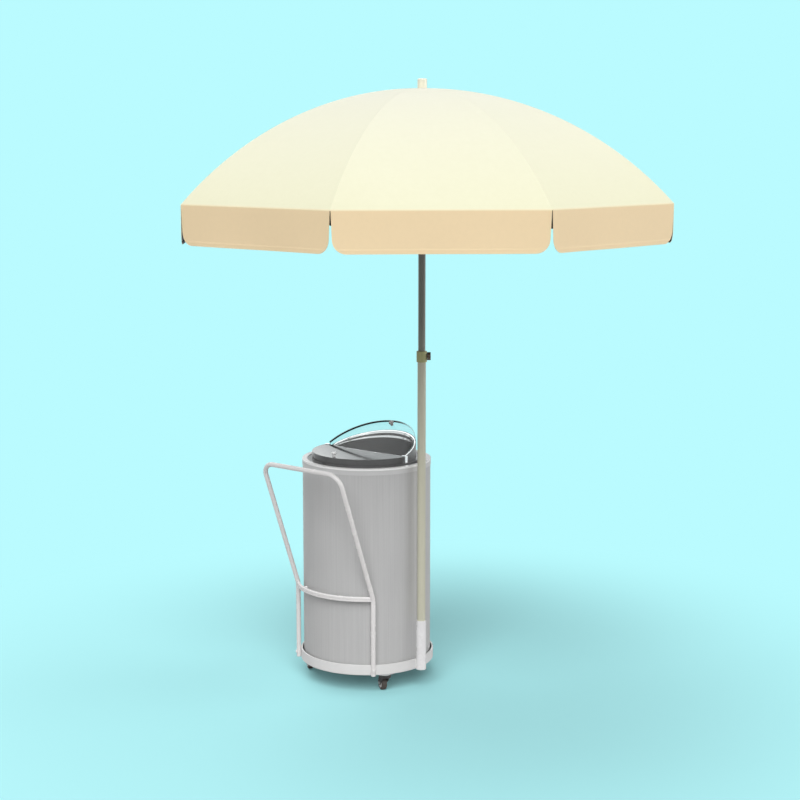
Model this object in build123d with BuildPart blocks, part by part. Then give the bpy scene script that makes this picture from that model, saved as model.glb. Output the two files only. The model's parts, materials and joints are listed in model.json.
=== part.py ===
from build123d import *
import os
from math import asin, atan2, cos, degrees, radians, sin, sqrt, tan

# Round insulated cooler on three casters, with a push handle and a folding sunshade.
# Millimetres, +Z up. The origin is on the floor, on the axis of the sunshade pole.
# The drum stands on the -X side of the pole and the push handle faces -Y.

os.makedirs("parts", exist_ok=True)

# Clearances
running_gap = 0.05       # shaft in a bore
slide_gap = 0.3          # tubes and sleeves that slide
seat_gap = 0.3           # faces that meet when something closes
fit_gap = 0.1            # curved faces fixed to each other

# Casters
caster_height = 67.0
caster_count = 3
caster_inset = 27.0      # of the kingpins from the edge of the tray
caster_first_angle = -31.0
caster_headings = (150.8, 146.0, 142.8)
caster_trail = 23.0
wheel_radius = 24.0
wheel_width = 18.0
hub_radius = 16.5
hub_dish = 2.5
hub_boss_radius = 7.0
tyre_round = 4.0
axle_radius = 3.0
axle_head_radius = 5.0
axle_head = 1.8
fork_wall = 2.5
fork_side_gap = 0.8
fork_disc_radius = 21.0
fork_disc = 10.5
fork_neck = 34.0
fork_foot_radius = 8.0
plate_length = 54.0
plate_width = 44.0
plate_thickness = 2.5
plate_corner = 5.0
race_height = 3.5
kingpin_radius = 5.0
kingpin_head_radius = 8.0
kingpin_head = 3.0

# Tray and drum
tray_margin = 10.5       # of the tray round the drum
tray_height = 36.0
tray_floor = 3.0
tray_wall = 2.5
tray_lip = 5.0           # width of the wall's thickened top
tray_lip_height = 5.0
tray_round = 3.0
tray_lip_round = 0.75
drum_radius = 221.0
drum_wall = 1.0
drum_top = 777.4
foam_wall = 30.0
foam_floor = 50.0
liner_wall = 3.0
rim_width = 17.4
rim_plate = 3.0
rim_skirt = 22.0
rim_skirt_wall = 1.2
rim_round = 1.0
gutter_depth = 8.4       # from the underside of the rim down to the lid seat

# Lids, hinge and hood
lid_overlap = 1.5        # of the lids over the wall of the tub
lid_rise = 25.1          # of the lids above the drum
lid_plate = 4.0
lid_skirt_wall = 3.0
lid_round = 2.0
collar_width = 23.0      # of the collar inside the tub
collar_step = 14.0
collar_plug = 18.0
guide_wall = 6.0
guide_height = 15.0
hinge_setback = 6.0      # hinge axis, in front of the drum axis
rod_radius = 3.0
barrel_radius = 5.0
barrel_gap = 4.0
flap_barrel = 176.0
lid_barrel_inset = 22.5  # of the hinge barrels from the edge of the lid
hinge_notch = 9.5
hinge_lap = 2.0          # of a hinge leaf over the lid's plate
bracket_width = 20.0
bracket_depth = 14.0
bracket_rise = 24.0
bracket_corner = 3.5
flap_inset = 6.5         # of the clear flap from the edge of the lid
flap_plate = 4.0
flap_rim = 4.0           # raised rim round the clear flap
flap_rim_rise = 4.0
flap_open_angle = 27.0   # as it stands at rest
flap_corner = 16.0
flap_corner_gap = 0.4
seat_slope = 16.7
hood_slope = 10.2
hood_front = 2.0
hood_drop = 10.5         # top of the dark wall at the hinge line, below the top of the lid
hood_inset = 17.0        # of the hood from the edge of the lid
hood_skin = 3.0          # dark wall outside the bright band
frame_lap = 1.0          # of the band inside the collar
lip_lean = 8.0           # of the band's inner faces back from upright, above and below the gasket
lip_edge = 0.3           # from the band's bore out to the foot of a leaning face
gasket_depth = 2.2
gasket_proud = 0.6
gasket_share = 0.36      # of the height of the frame
knob_inset = 23.0        # of the knobs from the edge of the flap
knob_height = 15.0
knob_head_radius = 9.0
knob_head = 7.0
knob_stem_radius = 5.0
knob_round = 2.5

# Drain
drain_rise = 12.0        # above the floor of the tub
drain_cut = 120.0        # passes right through the wall
spout_radius = 10.0
spout_bore = 7.0
spout_reach = 20.0       # past the drum
nut_radius = 15.0
nut_thickness = 6.0
cap_wall = 3.5
cap_length = 15.0
cap_round = 1.75

# Push handle
tube_radius = 8.0
tube_wall = 1.5
handle_half_width = 175.0
handle_foot = 67.4
handle_bend_z = 332.0
handle_bend_radius = 40.0
bar_rise = 5.1           # push bar, above the top of the drum
bar_overhang = 99.5      # of the push bar past the tray
bar_bend_radius = 48.0
crossbar_depth = 10.0
crossbar_height = 17.5
crossbar_round = 4.0
crossbar_groove = 3.0
crossbar_groove_depth = 2.0
crossbar_z = 334.5
spacer_radius = 5.0
spacer_spread = 28.0     # of the spacers, either side of the middle of the crossbar
screw_head_radius = 5.0
screw_head = 3.0
screw_z = 85.0

# Pole, socket and clamp
socket_radius = 17.0
socket_bottom = 69.5
socket_top = 241.4
socket_floor = 4.5
lower_pole_radius = 14.0
lower_pole_wall = 1.6
upper_pole_wall = 1.5
upper_pole_bottom = 895.0
clamp_radius = 17.5
clamp_bottom = 1130.0
clamp_top = 1167.0
clamp_grip = 12.0        # length held on the lower pole
clamp_round = 1.5
clamp_knob_angle = 40.8
clamp_knob_z = 1149.5
clamp_screw_radius = 3.0
clamp_knob_radius = 13.5
clamp_knob_thickness = 12.0
clamp_knob_lobes = 6
clamp_lobe_radius = 4.5
weld_half_width = 9.0
weld_inset = 2.5

# Sunshade
rib_count = 8
shade_radius = 832.0
shade_rim = 1666.0
shade_rise = 363.0
cloth = 1.2
shade_hole = 13.0
shade_turn = 0.75        # of the ribs from an even stance across the cart
valance_drop = 125.0
valance_inset = 1.6
hem_lap = 0.3            # top of a flap, below the rim of the shade
valance_taper = 5.0
valance_round = 40.0
rib_radius = 2.5
rib_top_drop = 9.8       # centre of the rib below the top of the cloth, at the crown
rib_mid_drop = 5.2
rib_tip_drop = 4.8
rib_tip_inset = 4.0
eye_radius = 4.0
eye_width = 5.6
pin_radius = 1.0
crown_radius = 26.0
crown_height = 18.0
crown_top_plate = 2.2
crown_pivot = 20.0
crown_slot_gap = 0.3
stretcher_share = 0.4    # of the shade's radius, where the stretcher meets the rib
stretcher_radius = 1.8
clevis_drop = 8.0
clevis_wall = 1.2
clevis_radius = 4.2
clevis_pin_radius = 1.2
tongue_radius = 3.2
tongue_width = 4.2
tongue_gap = 0.2
runner_pivot = 24.0
runner_pivot_z = 1795.0
runner_wall = 4.0
runner_length = 52.0
runner_flange_radius = 29.0
runner_flange = 12.0
runner_slot_floor = 19.0
runner_slot_gap = 0.5
runner_grip_radius = 19.5
runner_grip = 12.0
finial_radius = 15.5
finial_height = 31.0
finial_round = 5.0
finial_stem_radius = 6.0

# Places worked out from the sizes above
on_base = (Align.CENTER, Align.CENTER, Align.MIN)
tray_radius = drum_radius + tray_margin
lid_top = drum_top + lid_rise
lid_cut = 2 * tray_radius
hood_wall_top = lid_top - hood_drop
bar_z = drum_top + bar_rise
caster_circle = tray_radius - caster_inset
bar_reach = tray_radius + bar_overhang
drum_x = -(tray_radius + fit_gap + socket_radius)
drum_bottom = caster_height + tray_floor
tray_top = caster_height + tray_height
foam_radius = drum_radius - drum_wall - fit_gap
foam_bottom = drum_bottom + drum_wall
liner_radius = drum_radius - drum_wall - foam_wall
liner_inner = liner_radius - liner_wall
lid_radius = liner_inner + lid_overlap
collar_inner = liner_inner - collar_width
lid_barrel_end = lid_radius - lid_barrel_inset
flap_radius = lid_radius - flap_inset
hood_radius = lid_radius - hood_inset
frame_inner = collar_inner - frame_lap
frame_outer = hood_radius - hood_skin - fit_gap
knob_reach = flap_radius - knob_inset
liner_bottom = foam_bottom + foam_floor
tub_floor = liner_bottom + liner_wall
rim_radius = drum_radius + fit_gap + rim_skirt_wall
rim_inner = rim_radius - rim_width
flange_top = drum_top - rim_plate
flange_bottom = flange_top - liner_wall
seat_z = flange_top - gutter_depth
collar_top = seat_z + collar_step
hinge_y = -hinge_setback
hinge_z = lid_top - barrel_radius
drain_z = tub_floor + drain_rise
upright_circle = tray_radius + fit_gap + tube_radius
upright_y = -sqrt(upright_circle**2 - handle_half_width**2)
lower_pole_bottom = socket_bottom + socket_floor
lower_pole_top = clamp_bottom + clamp_grip
lower_pole_inner = lower_pole_radius - lower_pole_wall
upper_pole_radius = lower_pole_inner - slide_gap - running_gap
shade_apex = shade_rim + shade_rise
shade_arc = (shade_radius**2 + shade_rise**2) / (2 * shade_rise)
shade_centre = shade_apex - shade_arc
crown_top = shade_apex - cloth - seat_gap - shade_hole**2 / (2 * shade_arc)
upper_pole_top = crown_top - crown_top_plate
rib_step = 360.0 / rib_count
rib_first_angle = rib_step / 2 - shade_turn


def write(piece, name):
    """Label a finished piece and write it under its own name."""
    piece.part.label = name
    export_step(piece.part, f"parts/{name}.step")


def drum_plane(z):
    """A level plane on the drum's axis."""
    return Plane((drum_x, 0, z))


def tilted_plane(y, z, slope):
    """A plane through a line along X that rises towards +Y."""
    tilt = radians(slope)
    return Plane((drum_x, y, z), x_dir=(1, 0, 0), z_dir=(0, -sin(tilt), cos(tilt)))


def radial_plane(angle):
    """The upright plane through the pole: its x runs outwards and its y runs up."""
    turn = radians(angle)
    return Plane((0, 0, 0), x_dir=(cos(turn), sin(turn), 0), z_dir=(sin(turn), -cos(turn), 0))


def around(x, y, z, radius, height):
    """An upright cylinder used to trim what stands against a tube or a drum."""
    return Pos(x, y, z) * Cylinder(radius, height, align=on_base, mode=Mode.PRIVATE)


def shade_point(r, drop=0.0):
    """A point of a rib's plane, on the shade's outer arc or below it along the arc's own radius."""
    tilt = asin(r / shade_arc)
    reach = shade_arc - drop
    return reach * sin(tilt), shade_centre + reach * cos(tilt)


# Base tray: a shallow dish that carries the drum
with BuildPart(drum_plane(caster_height)) as base_tray:
    Cylinder(tray_radius, tray_height, align=on_base)
    fillet(base_tray.edges().group_by(Axis.Z)[0], tray_round)
    with Locations((0, 0, tray_floor)):
        Cylinder(tray_radius - tray_lip, tray_height, align=on_base, mode=Mode.SUBTRACT)
        Cylinder(tray_radius - tray_wall, tray_height - tray_floor - tray_lip_height, align=on_base,
                 mode=Mode.SUBTRACT)
    fillet(base_tray.edges().group_by(Axis.Z)[-1], tray_lip_round)
write(base_tray, "base_tray")


def drain_bore():
    """The bore for the drain spout, through whatever wall is being made."""
    with Locations(Location((drum_x, drum_radius, drain_z), (90, 0, 0))):
        Cylinder(spout_radius + fit_gap, drain_cut, mode=Mode.SUBTRACT)


# Drum shell: a sheet can
with BuildPart(drum_plane(drum_bottom)) as drum_shell:
    Cylinder(drum_radius, flange_top - drum_bottom, align=on_base)
    with Locations((0, 0, drum_wall)):
        Cylinder(drum_radius - drum_wall, flange_top, align=on_base, mode=Mode.SUBTRACT)
with BuildPart() as drum_shell_bored:
    add(drum_shell.part)
    drain_bore()
write(drum_shell_bored, "drum_shell")

# Foam between the shell and the tub
with BuildPart() as foam_insulation:
    with BuildSketch(drum_plane(foam_bottom)):
        Circle(foam_radius)
    extrude(amount=flange_bottom - fit_gap - foam_bottom)
    with BuildSketch(drum_plane(liner_bottom - fit_gap)):
        Circle(liner_radius + fit_gap)
    extrude(amount=drum_top, mode=Mode.SUBTRACT)
    with BuildSketch(drum_plane(flange_bottom - fit_gap)):
        Circle(rim_inner + liner_wall)
    with BuildSketch(drum_plane(seat_z - liner_wall - fit_gap)):
        Circle(liner_radius + fit_gap)
    loft(mode=Mode.SUBTRACT)
    drain_bore()
write(foam_insulation, "foam_insulation")

# Inner tub with its sloping gutter and top flange, turned from one profile
with BuildPart() as inner_liner:
    with BuildSketch(Plane((drum_x, 0, 0), x_dir=(1, 0, 0), z_dir=(0, -1, 0))):
        with BuildLine():
            Polyline(
                (0, liner_bottom),
                (liner_radius, liner_bottom),
                (liner_radius, seat_z - liner_wall),
                (rim_inner, flange_bottom),
                (drum_radius - drum_wall - fit_gap, flange_bottom),
                (drum_radius - drum_wall - fit_gap, flange_top),
                (rim_inner, flange_top),
                (liner_radius, seat_z),
                (liner_inner, seat_z),
                (liner_inner, tub_floor),
                (0, tub_floor),
                close=True,
            )
        make_face()
    revolve(axis=Axis((drum_x, 0, 0), (0, 0, 1)))
    drain_bore()
write(inner_liner, "inner_liner")

# Rim trim: the white ring that caps the shell
with BuildPart() as rim_trim:
    with BuildSketch(drum_plane(drum_top)):
        Circle(rim_radius)
        Circle(rim_inner, mode=Mode.SUBTRACT)
    extrude(amount=-rim_plate)
    with BuildSketch(drum_plane(drum_top - rim_plate)):
        Circle(rim_radius)
        Circle(rim_radius - rim_skirt_wall, mode=Mode.SUBTRACT)
    extrude(amount=rim_plate - rim_skirt)
    fillet(rim_trim.edges().group_by(Axis.Z)[-1], rim_round)
write(rim_trim, "rim_trim")


def keep_rear(y):
    """Cut the sketch back to the half behind a line along X."""
    with Locations((0, y + lid_cut / 2)):
        Rectangle(lid_cut, lid_cut, mode=Mode.INTERSECT)


def keep_front(y):
    """Cut the sketch back to the half in front of a line along X."""
    with Locations((0, y - lid_cut / 2)):
        Rectangle(lid_cut, lid_cut, mode=Mode.INTERSECT)


seat_plane = tilted_plane(
    hinge_y + (flap_plate / 2 + seat_gap) * sin(radians(seat_slope)),
    hinge_z - (flap_plate / 2 + seat_gap) * cos(radians(seat_slope)),
    seat_slope,
)
wall_plane = tilted_plane(0, hood_wall_top, hood_slope)


def frame_slope(share):
    """A slope between that of the dark wall's top and that of the clear flap's seat."""
    return hood_slope + share * (seat_slope - hood_slope)


def frame_plane(share):
    """A plane between the top of the dark wall and the seat of the clear flap."""
    seat_front = seat_plane.origin.Z - seat_plane.origin.Y * tan(radians(seat_slope))
    z = hood_wall_top + share * (seat_front - hood_wall_top)
    return tilted_plane(0, z, frame_slope(share))


# Lid collar: a dark ring in the mouth of the tub whose rear half rises as a sloping hood
with BuildPart() as lid_collar:
    with BuildSketch(drum_plane(seat_z)):
        Circle(lid_radius)
        Circle(collar_inner, mode=Mode.SUBTRACT)
    extrude(amount=collar_step)
    with BuildSketch(drum_plane(seat_z)):
        Circle(liner_inner - slide_gap)
        Circle(collar_inner, mode=Mode.SUBTRACT)
    extrude(amount=-collar_plug)
    with BuildSketch(drum_plane(collar_top)):
        Circle(collar_inner + guide_wall)
        Circle(collar_inner, mode=Mode.SUBTRACT)
        keep_front(hinge_y - hinge_notch)
    extrude(amount=guide_height)
with BuildPart() as hood_wall:
    with BuildSketch(drum_plane(collar_top)):
        Circle(hood_radius)
        Circle(collar_inner, mode=Mode.SUBTRACT)
        keep_rear(hood_front)
    extrude(amount=lid_radius)
    split(bisect_by=wall_plane, keep=Keep.BOTTOM)


def hood_band(inner, outer, low, high):
    """A half ring of the hood between two sloping planes."""
    with BuildPart() as band:
        with BuildSketch(drum_plane(collar_top)):
            Circle(outer)
            Circle(inner, mode=Mode.SUBTRACT)
            keep_rear(hood_front)
        extrude(amount=lid_radius)
        split(bisect_by=low, keep=Keep.TOP)
        split(bisect_by=high, keep=Keep.BOTTOM)
    return band.part


with BuildPart() as lid_collar_whole:
    add(lid_collar.part)
    add(hood_wall.part)
    add(hood_band(hood_radius - hood_skin, hood_radius, wall_plane, seat_plane))
write(lid_collar_whole, "lid_collar")

gasket_low = 0.5 - gasket_share / 2
gasket_high = 0.5 + gasket_share / 2
lip_rise = frame_inner * (tan(radians(seat_slope)) - tan(radians(hood_slope)))


def hood_lip(low, high):
    """A half ring of the band between two shares of its height, with an inner face that leans outward."""
    slope = frame_slope(low)
    across = frame_inner / cos(radians(slope))
    with BuildPart() as bore:
        for rise in (-gasket_depth, lip_rise):
            widening = lip_edge + rise * tan(radians(slope + lip_lean))
            with BuildSketch(frame_plane(low).offset(rise)):
                Ellipse(frame_inner + widening, across + widening)
        loft()
    with BuildPart() as lip:
        add(hood_band(frame_inner, frame_outer, frame_plane(low), frame_plane(high)))
        add(bore.part, mode=Mode.SUBTRACT)
    return lip.part


# Hood frame: the bright band inside the top of the dark wall, with a lip on each side of its gasket
with BuildPart() as hood_frame:
    add(hood_band(frame_inner + gasket_depth, frame_outer, wall_plane, seat_plane))
    add(hood_lip(0, gasket_low))
    add(hood_lip(gasket_high, 1))
write(hood_frame, "hood_frame")

# Hood gasket: the grey strip between the lips
gasket_inner = frame_inner - gasket_proud
gasket_outer = frame_inner + gasket_depth
with BuildPart() as hood_gasket:
    add(hood_band(gasket_inner, gasket_outer, frame_plane(gasket_low), frame_plane(gasket_high)))
write(hood_gasket, "hood_gasket")

# Lid hinge: one rod along X in two bright brackets
bracket_x = sqrt(lid_radius**2 - (hinge_setback + bracket_depth / 2)**2) - bracket_width / 2 - fit_gap
with BuildPart() as lid_hinge:
    with BuildSketch(drum_plane(collar_top)):
        with Locations((-bracket_x, hinge_y), (bracket_x, hinge_y)):
            RectangleRounded(bracket_width, bracket_depth, bracket_corner)
    extrude(amount=bracket_rise)
    with Locations(Location((drum_x, hinge_y, hinge_z), (0, 90, 0))):
        Cylinder(rod_radius + running_gap, lid_cut, mode=Mode.SUBTRACT)
        Cylinder(rod_radius, 2 * bracket_x + bracket_width)
write(lid_hinge, "lid_hinge")


def barrel(start, end):
    """A hinge barrel along X, round the rod."""
    with Locations(Location((drum_x + (start + end) / 2, hinge_y, hinge_z), (0, 90, 0))):
        Cylinder(barrel_radius, end - start)


def rod_bore():
    """The running bore for the hinge rod."""
    with Locations(Location((drum_x, hinge_y, hinge_z), (0, 90, 0))):
        Cylinder(rod_radius + running_gap, lid_cut, mode=Mode.SUBTRACT)


lid_barrel_start = flap_barrel / 2 + barrel_gap
lid_barrel_spans = ((-lid_barrel_end, -lid_barrel_start), (lid_barrel_start, lid_barrel_end))

# Front lid: a dark half-round cap
with BuildPart() as front_lid:
    with BuildSketch(drum_plane(lid_top - lid_plate)):
        Circle(lid_radius)
        keep_front(hinge_y - hinge_notch)
    extrude(amount=lid_plate)
    with BuildSketch(drum_plane(collar_top + seat_gap)):
        Circle(lid_radius)
        Circle(lid_radius - lid_skirt_wall, mode=Mode.SUBTRACT)
        keep_front(hinge_y - hinge_notch)
    extrude(amount=lid_top - lid_plate - collar_top - seat_gap)
    fillet(front_lid.edges().filter_by(GeomType.CIRCLE).group_by(Axis.Z)[-1], lid_round)
    for start, end in lid_barrel_spans:
        barrel(start, end)
        leaf_y = hinge_y - (hinge_notch + hinge_lap) / 2
        with Locations((drum_x + (start + end) / 2, leaf_y, lid_top - lid_plate)):
            Box(end - start, hinge_notch + hinge_lap, lid_plate, align=on_base)
    rod_bore()
write(front_lid, "front_lid")

# Clear flap: a half-round pane with a raised rim on one long barrel, standing part open
flap_plane = tilted_plane(hinge_y, hinge_z, flap_open_angle)


def flap_corners():
    """Cut the sketch clear of the hinge brackets."""
    keep_rear(hinge_notch)
    for side in (-1, 1):
        with Locations((side * (flap_radius + lid_barrel_end) / 2, flap_corner / 2)):
            Rectangle(flap_radius - lid_barrel_end + flap_corner_gap, flap_corner, mode=Mode.SUBTRACT)


with BuildPart() as clear_flap:
    with BuildSketch(flap_plane.offset(-flap_plate / 2)):
        Circle(flap_radius)
        flap_corners()
        with Locations((0, hinge_notch / 2)):
            Rectangle(flap_barrel, hinge_notch)
    extrude(amount=flap_plate)
    with BuildSketch(flap_plane.offset(flap_plate / 2)):
        Circle(flap_radius)
        Circle(flap_radius - flap_rim, mode=Mode.SUBTRACT)
        flap_corners()
    extrude(amount=flap_rim_rise)
    barrel(-flap_barrel / 2, flap_barrel / 2)
    rod_bore()
write(clear_flap, "clear_flap")


def lid_knob(plane):
    """A small mushroom knob standing on a plane."""
    with BuildPart(plane) as knob:
        Cylinder(knob_stem_radius, knob_height - knob_head, align=on_base)
        with Locations((0, 0, knob_height - knob_head)):
            Cylinder(knob_head_radius, knob_head, align=on_base)
        fillet(knob.edges().filter_by(GeomType.CIRCLE).sort_by(SortBy.RADIUS)[-2:], knob_round)
    return knob


write(lid_knob(Plane((drum_x, hinge_y - knob_reach, lid_top))), "front_lid_knob")
flap_knob_plane = flap_plane.offset(flap_plate / 2)
flap_knob_spot = flap_knob_plane.from_local_coords((0, knob_reach, 0))
write(lid_knob(Plane(flap_knob_spot, x_dir=(1, 0, 0), z_dir=flap_plane.z_dir)), "flap_knob")

# Drain spout through the wall at the back, with its nut
spout_start = liner_inner - fit_gap
spout_end = drum_radius + spout_reach
with BuildPart(Plane((drum_x, spout_start, drain_z), x_dir=(1, 0, 0), z_dir=(0, 1, 0))) as drain_spout:
    Cylinder(spout_radius, spout_end - spout_start, align=on_base)
    with Locations((0, 0, drum_radius + fit_gap - spout_start)):
        Cylinder(nut_radius, nut_thickness, align=on_base)
    Cylinder(spout_bore, drain_cut, mode=Mode.SUBTRACT)
write(drain_spout, "drain_spout")

# Drain cap over the end of the spout
cap_plane = Plane((drum_x, spout_end + seat_gap, drain_z), x_dir=(1, 0, 0), z_dir=(0, 1, 0))
with BuildPart(cap_plane) as drain_cap:
    Cylinder(spout_radius + slide_gap + cap_wall, cap_wall, align=on_base)
    with Locations((0, 0, cap_wall - cap_length)):
        Cylinder(spout_radius + slide_gap + cap_wall, cap_length - cap_wall, align=on_base)
        Cylinder(spout_radius + slide_gap, cap_length - cap_wall, align=on_base, mode=Mode.SUBTRACT)
    fillet(drain_cap.edges().filter_by(GeomType.CIRCLE).sort_by(Axis.Y)[-1], cap_round)
write(drain_cap, "drain_cap")

# Push handle: one bent tube, up from the tray, out and across
handle_points = [
    (drum_x + handle_half_width, upright_y, handle_foot),
    (drum_x + handle_half_width, upright_y, handle_bend_z),
    (drum_x + handle_half_width, -bar_reach, bar_z),
    (drum_x - handle_half_width, -bar_reach, bar_z),
    (drum_x - handle_half_width, upright_y, handle_bend_z),
    (drum_x - handle_half_width, upright_y, handle_foot),
]
handle_bends = [handle_bend_radius, bar_bend_radius, bar_bend_radius, handle_bend_radius]
with BuildPart() as handle_tube:
    with BuildLine() as handle_path:
        FilletPolyline(*handle_points, radius=handle_bends)
    with BuildSketch(Plane(handle_path.line @ 0, z_dir=handle_path.line % 0)):
        Circle(tube_radius)
        Circle(tube_radius - tube_wall, mode=Mode.SUBTRACT)
    sweep(path=handle_path.line)
write(handle_tube, "handle_tube")


def handle_trim(gap):
    """The space of the bent tube, cut out of what is welded or screwed to it."""
    with BuildPart(mode=Mode.PRIVATE) as space:
        with BuildSketch(Plane(handle_path.line @ 0, z_dir=handle_path.line % 0)):
            Circle(tube_radius + gap)
        sweep(path=handle_path.line)
    add(space.part, mode=Mode.SUBTRACT)


# Crossbar: a flat bar bent round the drum between the uprights, with a groove along its outer face
upright_angle = degrees(atan2(upright_y, handle_half_width))
with BuildPart() as handle_crossbar:
    with BuildLine(drum_plane(crossbar_z)) as crossbar_path:
        CenterArc((0, 0), upright_circle, upright_angle, -180 - 2 * upright_angle)
    crossbar_end = Plane(crossbar_path.line @ 0, x_dir=(0, 0, 1), z_dir=crossbar_path.line % 0)
    with BuildSketch(crossbar_end):
        RectangleRounded(crossbar_height, crossbar_depth, crossbar_round)
        with Locations((0, -crossbar_depth / 2)):
            Rectangle(crossbar_groove, 2 * crossbar_groove_depth, mode=Mode.SUBTRACT)
    sweep(path=crossbar_path.line)
    handle_trim(fit_gap)
write(handle_crossbar, "handle_crossbar")

# Spacers, screws and weld beads that hold the handle and the pole socket to the drum and tray
spacer_end = upright_circle - crossbar_depth / 2 - fit_gap
with BuildPart() as frame_fixings:
    for side in (-1, 1):
        spacer = Location((drum_x, 0, crossbar_z), (0, 0, -90 + side * spacer_spread))
        with Locations(spacer * Location((spacer_end, 0, 0), (0, -90, 0))):
            Cylinder(spacer_radius, spacer_end - drum_radius + spacer_radius, align=on_base)
        screw = Location((drum_x, 0, screw_z), (0, 0, -90 + side * (90 + upright_angle)))
        with Locations(screw * Location((upright_circle + tube_radius, 0, 0), (0, 90, 0))):
            Cylinder(screw_head_radius, 2 * screw_head)
    for side in (-1, 1):
        with Locations((-socket_radius, side * (weld_half_width + weld_inset) / 2, socket_bottom)):
            Box(socket_radius, weld_half_width - weld_inset, tray_height - 2 * tray_round, align=on_base)
    add(around(drum_x, 0, drum_bottom + tray_height, drum_radius + fit_gap, drum_top), mode=Mode.SUBTRACT)
    add(around(drum_x, 0, 0, tray_radius + fit_gap, tray_top), mode=Mode.SUBTRACT)
    add(around(0, 0, 0, socket_radius + fit_gap, socket_top), mode=Mode.SUBTRACT)
    handle_trim(fit_gap)
write(frame_fixings, "frame_fixings")

# Casters: plates with raceway and kingpin, swivelling forks, hubs and tyres
fork_top = caster_height - plate_thickness - race_height - seat_gap
fork_bottom = fork_top - fork_disc
fork_inner = wheel_width / 2 + fork_side_gap
fork_outer = fork_inner + fork_wall
kingpin_end = fork_bottom - seat_gap - kingpin_head


def caster_spot(index):
    """The place of a caster's kingpin, on the floor."""
    angle = radians(caster_first_angle + index * 360.0 / caster_count)
    return drum_x + caster_circle * cos(angle), caster_circle * sin(angle)


def caster_side_plane(index):
    """An upright plane along a caster's heading: x runs back along the trail, y runs up."""
    x, y = caster_spot(index)
    turn = radians(caster_headings[index])
    return Plane((x, y, 0), x_dir=(cos(turn), sin(turn), 0), z_dir=(sin(turn), -cos(turn), 0))


def axle_plane(index, offset):
    """A plane across a caster's axle."""
    side = caster_side_plane(index)
    centre = side.from_local_coords((caster_trail, wheel_radius, offset))
    return Plane(centre, x_dir=side.x_dir, z_dir=side.z_dir)


with BuildPart() as caster_plates:
    for index in range(caster_count):
        x, y = caster_spot(index)
        toward_axis = degrees(atan2(y, x - drum_x))
        with BuildSketch(Plane((x, y, caster_height))):
            RectangleRounded(plate_width, plate_length, plate_corner, rotation=toward_axis)
        extrude(amount=-plate_thickness)
        with Locations((x, y, fork_top + seat_gap)):
            Cylinder(fork_disc_radius, race_height, align=on_base)
        with Locations((x, y, kingpin_end)):
            Cylinder(kingpin_radius, caster_height - plate_thickness - kingpin_end, align=on_base)
            Cylinder(kingpin_head_radius, kingpin_head, align=on_base)
write(caster_plates, "caster_plates")

for index in range(caster_count):
    x, y = caster_spot(index)
    side_plane = caster_side_plane(index)
    with BuildPart() as caster_fork:
        with Locations((x, y, fork_bottom)):
            Cylinder(fork_disc_radius, fork_disc, align=on_base)
        for start in (-fork_outer, fork_inner):
            with BuildSketch(side_plane.offset(start)):
                with Locations((0, fork_bottom + fork_disc / 2)):
                    Rectangle(fork_neck, fork_disc / 2)
                with Locations((caster_trail, wheel_radius)):
                    Circle(fork_foot_radius)
                make_hull()
                with Locations((caster_trail, wheel_radius)):
                    Circle(axle_radius + running_gap, mode=Mode.SUBTRACT)
            extrude(amount=fork_wall)
        with Locations((x, y, fork_bottom)):
            Cylinder(kingpin_radius + running_gap, fork_disc, align=on_base, mode=Mode.SUBTRACT)
    with BuildPart() as caster_axle:
        with BuildSketch(axle_plane(index, -fork_outer)):
            Circle(axle_radius)
        extrude(amount=2 * fork_outer)
        for start in (-fork_outer - axle_head - running_gap, fork_outer + running_gap):
            with BuildSketch(axle_plane(index, start)):
                Circle(axle_head_radius)
            extrude(amount=axle_head)
        with BuildSketch(axle_plane(index, -fork_outer - axle_head)):
            Circle(axle_radius)
        extrude(amount=2 * (fork_outer + axle_head))
    with BuildPart() as fork_with_axle:
        add(caster_fork.part)
        add(caster_axle.part)
    write(fork_with_axle, f"caster_fork_{index + 1}")

    with BuildPart() as caster_hub:
        with BuildSketch(axle_plane(index, -wheel_width / 2)):
            Circle(hub_radius)
            Circle(axle_radius + running_gap, mode=Mode.SUBTRACT)
        extrude(amount=wheel_width)
        for start in (-wheel_width / 2, wheel_width / 2 - hub_dish):
            with BuildSketch(axle_plane(index, start)):
                Circle(hub_radius - hub_dish)
                Circle(hub_boss_radius, mode=Mode.SUBTRACT)
            extrude(amount=hub_dish, mode=Mode.SUBTRACT)
    write(caster_hub, f"caster_hub_{index + 1}")

    with BuildPart() as caster_tyre:
        with BuildSketch(axle_plane(index, -wheel_width / 2)):
            Circle(wheel_radius)
        extrude(amount=wheel_width)
        fillet(caster_tyre.edges().filter_by(GeomType.CIRCLE), tyre_round)
        with BuildSketch(axle_plane(index, -wheel_width / 2)):
            Circle(hub_radius)
        extrude(amount=wheel_width, mode=Mode.SUBTRACT)
    write(caster_tyre, f"caster_tyre_{index + 1}")

# Pole socket: a closed tube beside the tray
with BuildPart(Plane((0, 0, socket_bottom))) as pole_socket:
    Cylinder(socket_radius, socket_top - socket_bottom, align=on_base)
    with Locations((0, 0, socket_floor)):
        Cylinder(lower_pole_radius + slide_gap, socket_top, align=on_base, mode=Mode.SUBTRACT)
write(pole_socket, "pole_socket")

# Lower pole
with BuildPart(Plane((0, 0, lower_pole_bottom))) as lower_pole:
    Cylinder(lower_pole_radius, lower_pole_top - lower_pole_bottom, align=on_base)
    Cylinder(lower_pole_inner, lower_pole_top, align=on_base, mode=Mode.SUBTRACT)
write(lower_pole, "lower_pole")

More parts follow.
